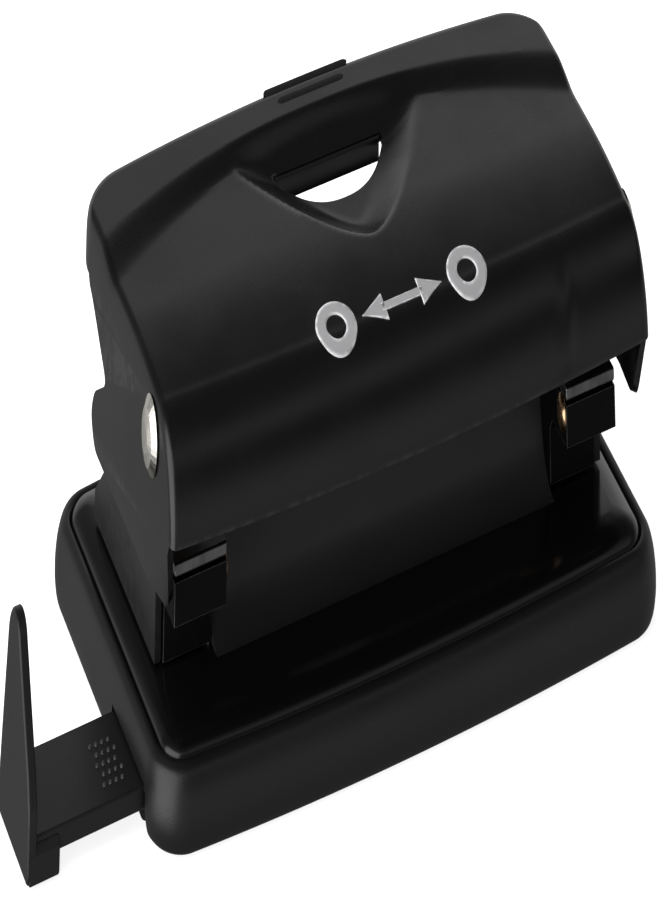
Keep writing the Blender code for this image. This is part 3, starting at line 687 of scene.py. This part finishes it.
def handle_section(x):
    """The handle's side view at x: up the front, over the shoulder, along the top and down the rear lip."""
    drop = fold_drop(x)
    front = HANDLE_FRONT - BOW * crown(x)
    back = HANDLE_BACK + BACK_BOW * crown(x)
    over = max(abs(x) - (HALF - CORNER), 0.0)
    back -= CORNER - math.sqrt(CORNER ** 2 - min(over, CORNER) ** 2)
    flat_start = front + SHOULDER_DEPTH
    flat_end = back - REAR_ROUND
    top = handle_height(x, flat_start) - drop
    points = []
    for i in range(SHOULDER_STEPS):
        turn = math.pi / 2 * i / SHOULDER_STEPS
        z = FRONT_EDGE + (top - FRONT_EDGE) * math.sin(turn)
        points.append((flat_start - (SHOULDER_DEPTH - drop) * math.cos(turn) - crease(x, z), z))
    stops = [flat_start, min(slot_front(x), flat_end - 4.0), min(SLOT_BACK, flat_end - 2.0), flat_end]
    for low, high, steps in zip(stops, stops[1:], (BODY_STEPS, SLOT_STEPS, PAD_STEPS)):
        for i in range(steps):
            y = low + (high - low) * i / steps
            points.append((y, handle_height(x, y) - drop))
    lip_top = handle_height(x, flat_end) - drop
    lip_low = REAR_LIP - LIP_DROP * smooth((abs(x) - HALF + CORNER) / CORNER)
    points += arc((flat_end, lip_top - REAR_ROUND), REAR_ROUND, 90, 0, LIP_STEPS)
    points.append((back, (lip_top - REAR_ROUND + lip_low) / 2))
    points.append((back, lip_low))
    return points


def handle_columns():
    """Places along X: even over the body, close together at the corners and round the folds."""
    slot = [SLOT_HALF * i / 12 for i in range(13)]
    body_end = HALF - CORNER
    body = [SLOT_HALF + (body_end - SLOT_HALF) * i / 34 for i in range(1, 35)]
    corner_end = HALF - FOLD
    corner = [body_end + CORNER * math.sin(math.radians(a)) for a in range(6, 90, 6)]
    corner = [x for x in corner if x < corner_end - 0.1]
    fold = [HALF - FOLD * (1 - math.sin(math.radians(a))) for a in range(0, 91, 15)]
    right = slot + body + corner + fold
    return [-x for x in reversed(right[1:])] + right


def flange_line(front, back):
    """The lower edge of a side flange: the leaning tongue in front, then the edge, tail, notch and hook."""
    tongue = [(front + 0.7, FRONT_EDGE - 1.0), (-23.5, FLANGE_BOTTOM), PRESSED_END]
    rest = [PRESSED_END, (10.0, FLANGE_BOTTOM), (12.0, FLANGE_BOTTOM + 2.2), (10.6, FLANGE_BOTTOM + 4.4),
            (4.8, 24.2), (12.2, 28.3), (back - 0.6, REAR_LIP - 1.5)]
    return rounded(tongue, 1.6), rounded(rest, 1.6)[1:]


def tongue_lean(line):
    """How far each point of the tongue leans in, by its distance from the pressed line."""
    start, end = Vector(line[0]), Vector(line[-1])
    across = (end - start).orthogonal().normalized()
    return [TONGUE_LEAN * abs((Vector(point) - start).dot(across)) for point in line]


def make_handle():
    """The pressed shell: one open sheet with its slot and flanges, given thickness and rounded edges."""
    columns = handle_columns()
    sections = [handle_section(x) for x in columns]
    rows = len(sections[0])
    points = [(x, y, z) for x, section in zip(columns, sections) for y, z in section]
    first = next(i for i, x in enumerate(columns) if x > -SLOT_HALF - 0.01)
    last = next(i for i, x in enumerate(columns) if x > SLOT_HALF - 0.01)
    slot_rows = range(SLOT_FIRST_ROW, SLOT_FIRST_ROW + SLOT_STEPS)
    faces = grid_faces(len(columns), rows, lambda c, r: first <= c < last and r in slot_rows)
    tongue, rest = flange_line(sections[0][0][0], sections[0][-1][0])
    lean = tongue_lean(tongue)
    for sign, top in ((-1, 0), (1, (len(columns) - 1) * rows)):
        start = len(points)
        points += [(sign * (HALF - inward), y, z) for inward, (y, z) in zip(lean, tongue)]
        points += [(sign * HALF, y, z) for y, z in rest]
        end = start + len(tongue) - 1
        lower = list(range(end, len(points)))
        faces.append(tuple([*range(top, top + rows), *reversed(lower), start]))
        faces.append(tuple(range(start, end + 1)))
    shell = mesh_object("handle_body", points, faces, "handle_paint", 180)
    thicken(shell, SHEET)
    bevelled(shell, 0.32, 3, 55)
    rides(applied(shell), "handle", "handle_paint", "handle_shell")


def make_slot_lip():
    """The sheet turned down along the slot's rear edge."""
    count = 40
    rings = []
    for i in range(count + 1):
        x = (SLOT_HALF - 0.4) * (2 * i / count - 1)
        top = handle_height(x, SLOT_BACK) - 0.15
        near, far = SLOT_BACK + 0.25, SLOT_BACK + 0.75
        upper, lower = top - SLOT_LIP_RADIUS, top - SLOT_LIP
        corners = ((near, upper, 90), (near, lower, 180), (far, lower, 270), (far, upper, 0))
        outline = [point for y, z, turn in corners
                   for point in arc((y, z), SLOT_LIP_RADIUS, turn, turn + 90, 4)]
        rings.append([(x, y, z) for y, z in outline])
    rides(loft("slot_lip", rings, "handle_paint"), "handle", "handle_paint")


def grip_bar(name, y, half_length, half_width):
    """A black inlay on the pad: a rounded bar that follows the pad's surface."""
    along, across = 40, 8
    points = []
    for i in range(along + 1):
        share = 2 * i / along - 1
        x = half_length * share
        past = max(0.0, (abs(x) - half_length + half_width) / half_width)
        width = half_width * math.sqrt(max(0.02, 1 - past ** 2))
        for j in range(across + 1):
            turn = math.pi * j / across
            place = y - width * math.cos(turn)
            raised = GRIP_RAISE - GRIP_CURVE * (1 - math.sin(turn))
            points.append((x, place, handle_height(x, place) + raised))
    bar = mesh_object(name, points, grid_faces(along + 1, across + 1), "rubber", 60)
    thicken(bar, 0.4)
    rides(applied(bar), "handle")


def surface_place(x, travel):
    """A point on the handle's section at x, by its distance up from the front edge, and the normal there."""
    points = np.array(handle_section(x)[:PRINT_ROWS])
    lengths = np.concatenate([[0.0], np.cumsum(np.linalg.norm(np.diff(points, axis=0), axis=1))])
    y, z = (float(np.interp(travel, lengths, values)) for values in points.T)
    next_y, next_z = (float(np.interp(travel + PRINT_PROBE, lengths, values)) for values in points.T)
    size = math.hypot(next_y - y, next_z - z)
    return y, z, ((z - next_z) / size, (next_y - y) / size)


def printed(name, places, faces):
    """A flat drawing of (x, up) points, laid on the handle's shoulder with a little thickness."""
    points = []
    for x, up in places:
        y, z, normal = surface_place(x, PRINT_MIDDLE + up)
        points.append((x, y + normal[0] * PRINT_RAISE, z + normal[1] * PRINT_RAISE))
    drawn = mesh_object(name, points, faces, "silver_print", 60)
    thicken(drawn, 0.1)
    rides(applied(drawn), "handle")


def print_ring(name, x, inner, outer):
    around, rows = 56, 5
    places = [(x + r * math.cos(a), r * math.sin(a))
              for r in [inner + (outer - inner) * j / (rows - 1) for j in range(rows)]
              for a in [*full_turn(around), 2 * math.pi]]
    printed(name, places, grid_faces(rows, around + 1))


def print_bar(name, x_start, x_end, half_width, narrowing=0.0):
    """A bar, or with a narrowing of 1 an arrowhead that comes to a point at its end."""
    along, across = 24, 8
    places = []
    for i in range(along + 1):
        share = i / along
        half = half_width * max(1 - narrowing * share, 0.04)
        x = x_start + (x_end - x_start) * share
        places += [(x, half * (2 * j / across - 1)) for j in range(across + 1)]
    printed(name, places, grid_faces(along + 1, across + 1))


def make_pictogram():
    """Two punched holes with a double arrow between them."""
    for side, sign in SIDES:
        print_ring("mark_ring_" + side, sign * RING_X, 1.9, 3.9)
        print_bar("mark_arrow_" + side, sign * 3.6, sign * 8.2, 2.1, narrowing=1.0)
    print_bar("mark_shaft", -4.2, 4.2, 0.65)


# --------------------------------------------------------- punching stations

def frame_clearance(sign):
    """The room beside a jaw that the frame's wall takes up: a cutter that reaches past the jaw elsewhere."""
    near, far = sorted((sign * (FRAME_OUTSIDE - FRAME_WALL - FRAME_GAP), sign * (FRAME_OUTSIDE + 2.0)))
    return box_solid("frame_room", (near, NOSE_BACK, 5.0), (far, 20.0, 25.0))


def make_die_block(side, sign):
    """The lower jaw: a nose in front, set back below, with edges lightened as rubbing and painted highlight.
    """
    middle = sign * STATION_X
    outline = [(BLOCK_LOW.y, JAW_NOSE), (BLOCK_LOW.y, BLOCK_HIGH.z), (BLOCK_HIGH.y, BLOCK_HIGH.z),
               (BLOCK_HIGH.y, BLOCK_LOW.z), (JAW_HEEL, BLOCK_LOW.z), (JAW_HEEL, JAW_NOSE - JAW_STEP),
               (JAW_HEEL - JAW_STEP, JAW_NOSE)]
    block = side_slab("die_jaw_" + side, outline, middle - STATION_HALF, middle + STATION_HALF, "jaw_paint")
    cut(block, frame_clearance(sign))
    # The jaw's bevels take the lighter edge paint: partly rubbing, partly a painted highlight.
    block.data.materials.append(MATERIALS["edge_rubbing_and_highlight"])
    bevelled(block, 0.4, 4).modifiers["edges"].material = 1
    rides(applied(block), "base", "frame_paint", "die_block_" + side)


def make_jaw_rivet(side, sign):
    """A small brass rivet head on the jaw's inner side."""
    profile = [(0.7, 0.7), (1.25, 0.5), (1.6, 0.15), (JAW_RIVET_RADIUS, 0.0), (JAW_RIVET_RADIUS, -0.2)]
    inner = sign * (STATION_X - STATION_HALF)
    y, z = JAW_RIVET
    rings = [[(inner - sign * out, y + reach * math.cos(a), z + reach * math.sin(a)) for a in full_turn(32)]
             for reach, out in profile]
    rides(loft("jaw_rivet_" + side, rings, "brass", 50), "base")


def make_die_plate(side, sign):
    """The bare steel plate on the jaw, with the hole that the pin enters."""
    middle = sign * STATION_X
    plate = box_solid("die_face_" + side, (middle - STATION_HALF, PLATE_LOW.y, PLATE_LOW.z),
                      (middle + STATION_HALF, PLATE_HIGH.y, PLATE_HIGH.z), "die_steel")
    hole = [(middle + DIE_OPENING * math.cos(a), PIN_Y + DIE_OPENING * math.sin(a)) for a in full_turn(48)]
    rings = [[(x, y, z) for x, y in hole] for z in (PLATE_LOW.z - 2, PLATE_HIGH.z + 2)]
    cut(plate, loft("die_opening", rings, "die_steel"))
    cut(plate, frame_clearance(sign))
    rides(applied(bevelled(plate, 0.3, 3)), "base", "nickel", "die_plate_" + side)


def make_spring(side, sign):
    """The return spring with closed end turns."""
    radius = (SPRING_HIGH.x - SPRING_LOW.x) / 2 - WIRE / 2
    low, high = SPRING_LOW.z + WIRE / 2, SPRING_HIGH.z - WIRE / 2
    turns, per_turn = 5.5, 40
    centre = Vector((sign * (SPRING_LOW.x + SPRING_HIGH.x) / 2, PIN_Y, 0.0))
    upright = Vector((0.0, 0.0, 1.0))
    steps = int(turns * per_turn)
    rings = []
    for i in range(steps + 1):
        turn = 2 * math.pi * i / per_turn
        travel = i / steps
        rise = 0.35 * smooth((travel - 0.12) / 0.76) + 0.65 * min(1.0, max(0.0, (travel - 0.16) / 0.68))
        out = Vector((math.cos(turn), math.sin(turn), 0.0))
        middle = centre + out * radius + upright * (low + (high - low) * rise)
        rings.append([middle + (out * math.cos(a) + upright * math.sin(a)) * WIRE / 2 for a in full_turn(10)])
    spring = loft("coil_spring_" + side, rings, "spring_steel", 70)
    rides(spring, "base", "spring_steel", "return_spring_" + side)
    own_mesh(spring)


# ------------------------------------------------------------- paper guide

def make_fence():
    """The upright plate that the paper's edge rests on."""
    front, back, low = GUIDE_LOW.y, GUIDE_HIGH.y, GUIDE_LOW.z
    top = arc((FENCE_TOP_Y, GUIDE_HIGH.z - FENCE_TOP_RADIUS), FENCE_TOP_RADIUS, 5, 152, 18)
    start = (back, low)
    slope = [(-18.2, 11.0), (-20.4, 8.0), (front + 0.1, 5.6)]
    outline = rounded([start, (back - 0.5, 4.0), *top, *slope, (front, low), start], 0.9)[:-1]
    plate = side_slab("guide_fence", outline, GUIDE_LOW.x, GUIDE_LOW.x + FENCE_THICK, "plastic", 30)
    rides(applied(bevelled(plate, 0.45, 4, 60)), "guide", "plastic", "paper_guide")


def make_arm():
    """The arm that slides in the tray's door."""
    arm = box_solid("guide_arm", (GUIDE_LOW.x + 1.0, ARM_Y[0], ARM_Z[0]), (GUIDE_HIGH.x, ARM_Y[1], ARM_Z[1]))
    rides(applied(bevelled(arm, 0.3, 3)), "guide", "plastic", "paper_guide")


def make_foot():
    """The step at the fence's front corner, under the arm."""
    front, back, low = GUIDE_LOW.y, GUIDE_LOW.y + FOOT_WIDTH, GUIDE_LOW.z
    outline = [(front, low), (front, FOOT_HEIGHT - 0.6), (front + 0.6, FOOT_HEIGHT), (back, FOOT_HEIGHT),
               (back, low)]
    step = side_slab("guide_foot", outline, GUIDE_LOW.x + 0.4, FOOT_REACH, "plastic", 30)
    rides(applied(bevelled(step, 0.3, 3)), "guide")


def make_fillet():
    """The hollow rounding between the fence and the arm."""
    x, z = GUIDE_LOW.x + FENCE_THICK + FENCE_FILLET, ARM_Z[1] + FENCE_FILLET
    inner, low = GUIDE_LOW.x + 1.0, ARM_Z[1] - 0.5
    outline = [*arc((x, z), FENCE_FILLET, 180, 270, 10), (x, low), (inner, low), (inner, z)]
    rings = [[(x, y, z) for x, z in outline] for y in (ARM_Y[0] + 0.2, ARM_Y[1] - 0.4)]
    rides(loft("guide_fillet", rings, "plastic", 30), "guide")


def dot_rings(x, y):
    """Rings of a raised dot on the arm, from its foot up to its small flat top."""
    levels = 4
    rings = []
    for level in range(levels + 1):
        turn = math.pi / 2 * level / levels
        reach = DOT_RADIUS * math.cos(turn) if level < levels else 0.04
        z = ARM_Z[1] - 0.02 + DOT_HEIGHT * math.sin(turn)
        rings.append([(x + reach * math.cos(a), y + reach * math.sin(a), z) for a in full_turn(12)])
    return rings


def make_grip_dots():
    """Raised dots in staggered rows on the arm, where a finger slides it."""
    points, faces = [], []
    for row in range(DOT_ROWS):
        for column in range(DOT_COLUMNS):
            x = DOT_FIRST[0] + DOT_STEP[0] * column + (DOT_STAGGER if row % 2 else 0.0)
            rings = dot_rings(x, DOT_FIRST[1] + DOT_STEP[1] * row)
            first = len(points)
            faces += [tuple(first + corner for corner in face)
                      for face in ring_faces(len(rings), len(rings[0]))]
            points += [point for ring in rings for point in ring]
    rides(mesh_object("guide_grip_dots", points, faces, "rubbed_plastic", 60), "guide")


# -------------------------------------------------------- kept CAD nodes

# The start of a kept node's name, and its material
KEPT = {
    "punch_frame": "frame_paint",
    "press_rib": "frame_paint",
    "punch_pin": "nickel",
    "pivot_rivet": "nickel",
    "pivot_washer": "nylon",
    "frame_rivet": "nickel",
}


def finish_kept_nodes():
    """Materials and smooth shading for the CAD nodes that no piece replaces."""
    for node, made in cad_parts.items():
        for start, material in KEPT.items():
            if node.startswith(start):
                made.data.materials.clear()
                made.data.materials.append(MATERIALS[material])
                made.data.shade_smooth()
                made.data.set_sharp_from_angle(angle=math.radians(35))


# ---------------------------------------------------------- floor and light

def make_floor():
    """The floor just under the object, left out of reflections, where the world lights it instead."""
    size = 1500.0
    points = [(x, y, -0.02) for x in (-size, size) for y in (-size, size)]
    floor = mesh_object("floor", points, [(0, 1, 3, 2)], "floor")
    floor.visible_glossy = False
    floor.visible_diffuse = False


def softbox(name, place, target, width, height, power):
    """A rectangular lamp at a place in millimetres that looks at a target."""
    data = bpy.data.lights.new(name, "AREA")
    data.shape = "RECTANGLE"
    data.size = width * MM
    data.size_y = height * MM
    data.energy = power
    lamp = bpy.data.objects.new(name, data)
    lamp.location = Vector(place) * MM
    lamp.rotation_mode = "QUATERNION"
    lamp.rotation_quaternion = (Vector(target) - Vector(place)).to_track_quat("-Z", "Y")
    bpy.context.scene.collection.objects.link(lamp)
    return lamp


def span(tree, source, low, high):
    """A value that runs from 0 to 1 while the source runs from low to high."""
    node = tree.nodes.new("ShaderNodeMapRange")
    node.inputs["From Min"].default_value = low
    node.inputs["From Max"].default_value = high
    tree.links.new(source, node.inputs["Value"])
    return node.outputs["Result"]


def gradient(tree, height, steps):
    """Brightness by height, smoothed between the steps."""
    node = tree.nodes.new("ShaderNodeValToRGB")
    node.color_ramp.interpolation = "B_SPLINE"
    tree.links.new(height, node.inputs[0])
    for place, _ in steps[1:-1]:
        node.color_ramp.elements.new((place + 1) / 2)
    for element, (place, level) in zip(node.color_ramp.elements, steps):
        element.position = (place + 1) / 2
        element.color = (level, level, level, 1.0)
    return node.outputs["Color"]


def room_light(tree):
    """Brightness of the studio by direction: bright at the horizon, dark above, a strip over the front."""
    direction = tree.nodes.new("ShaderNodeTexCoord")
    split = tree.nodes.new("ShaderNodeSeparateXYZ")
    tree.links.new(direction.outputs["Generated"], split.inputs[0])
    height = span(tree, split.outputs["Z"], -1.0, 1.0)
    mix = tree.nodes.new("ShaderNodeMix")
    mix.data_type = "RGBA"
    tree.links.new(span(tree, split.outputs["Y"], *ROOM_TURN), mix.inputs["Factor"])
    tree.links.new(gradient(tree, height, ROOM_FRONT), mix.inputs["A"])
    tree.links.new(gradient(tree, height, ROOM_BACK), mix.inputs["B"])
    left = tree.nodes.new("ShaderNodeMath")
    left.operation = "MULTIPLY"
    left.use_clamp = True
    left.inputs[1].default_value = -ROOM_LEFT
    tree.links.new(split.outputs["X"], left.inputs[0])
    total = tree.nodes.new("ShaderNodeMath")
    tree.links.new(mix.outputs["Result"], total.inputs[0])
    tree.links.new(left.outputs[0], total.inputs[1])
    return total.outputs[0]


def make_light():
    """Two softboxes and a studio that lights and mirrors in the object; the camera sees white instead."""
    softbox("left_softbox", (-520, -150, 150), (0, -10, 15), 700, 900, 4.5)
    top = softbox("top_softbox", (0, 320, 620), (0, 0, 20), 800, 500, 2.0)
    top.visible_glossy = False
    world = bpy.data.worlds.new("studio")
    bpy.context.scene.world = world
    world.use_nodes = True
    tree = world.node_tree
    tree.nodes.clear()
    room = tree.nodes.new("ShaderNodeBackground")
    tree.links.new(room_light(tree), room.inputs["Strength"])
    white = tree.nodes.new("ShaderNodeBackground")
    white.inputs["Strength"].default_value = 1.0
    white.inputs["Color"].default_value = (1, 1, 1, 1)
    path = tree.nodes.new("ShaderNodeLightPath")
    mix = tree.nodes.new("ShaderNodeMixShader")
    tree.links.new(path.outputs["Is Camera Ray"], mix.inputs[0])
    tree.links.new(room.outputs[0], mix.inputs[1])
    tree.links.new(white.outputs[0], mix.inputs[2])
    output = tree.nodes.new("ShaderNodeOutputWorld")
    tree.links.new(mix.outputs[0], output.inputs[0])
    bpy.context.scene.view_settings.view_transform = "Standard"


# ---------------------------------------------------------------- assembly

MATERIALS = make_materials()
make_camera()
make_light()
make_floor()
finish_kept_nodes()
make_tray()
make_deck()
make_ramp()
make_handle()
make_slot_lip()
grip_bar("grip_front", 21.0, 7.0, 0.75)
grip_bar("grip_rear", HANDLE_BACK + BACK_BOW - 1.4, 9.0, 0.75)
make_pictogram()
for side_name, side_sign in SIDES:
    make_die_block(side_name, side_sign)
    make_jaw_rivet(side_name, side_sign)
    make_die_plate(side_name, side_sign)
    make_spring(side_name, side_sign)
make_fence()
make_arm()
make_foot()
make_fillet()
make_grip_dots()
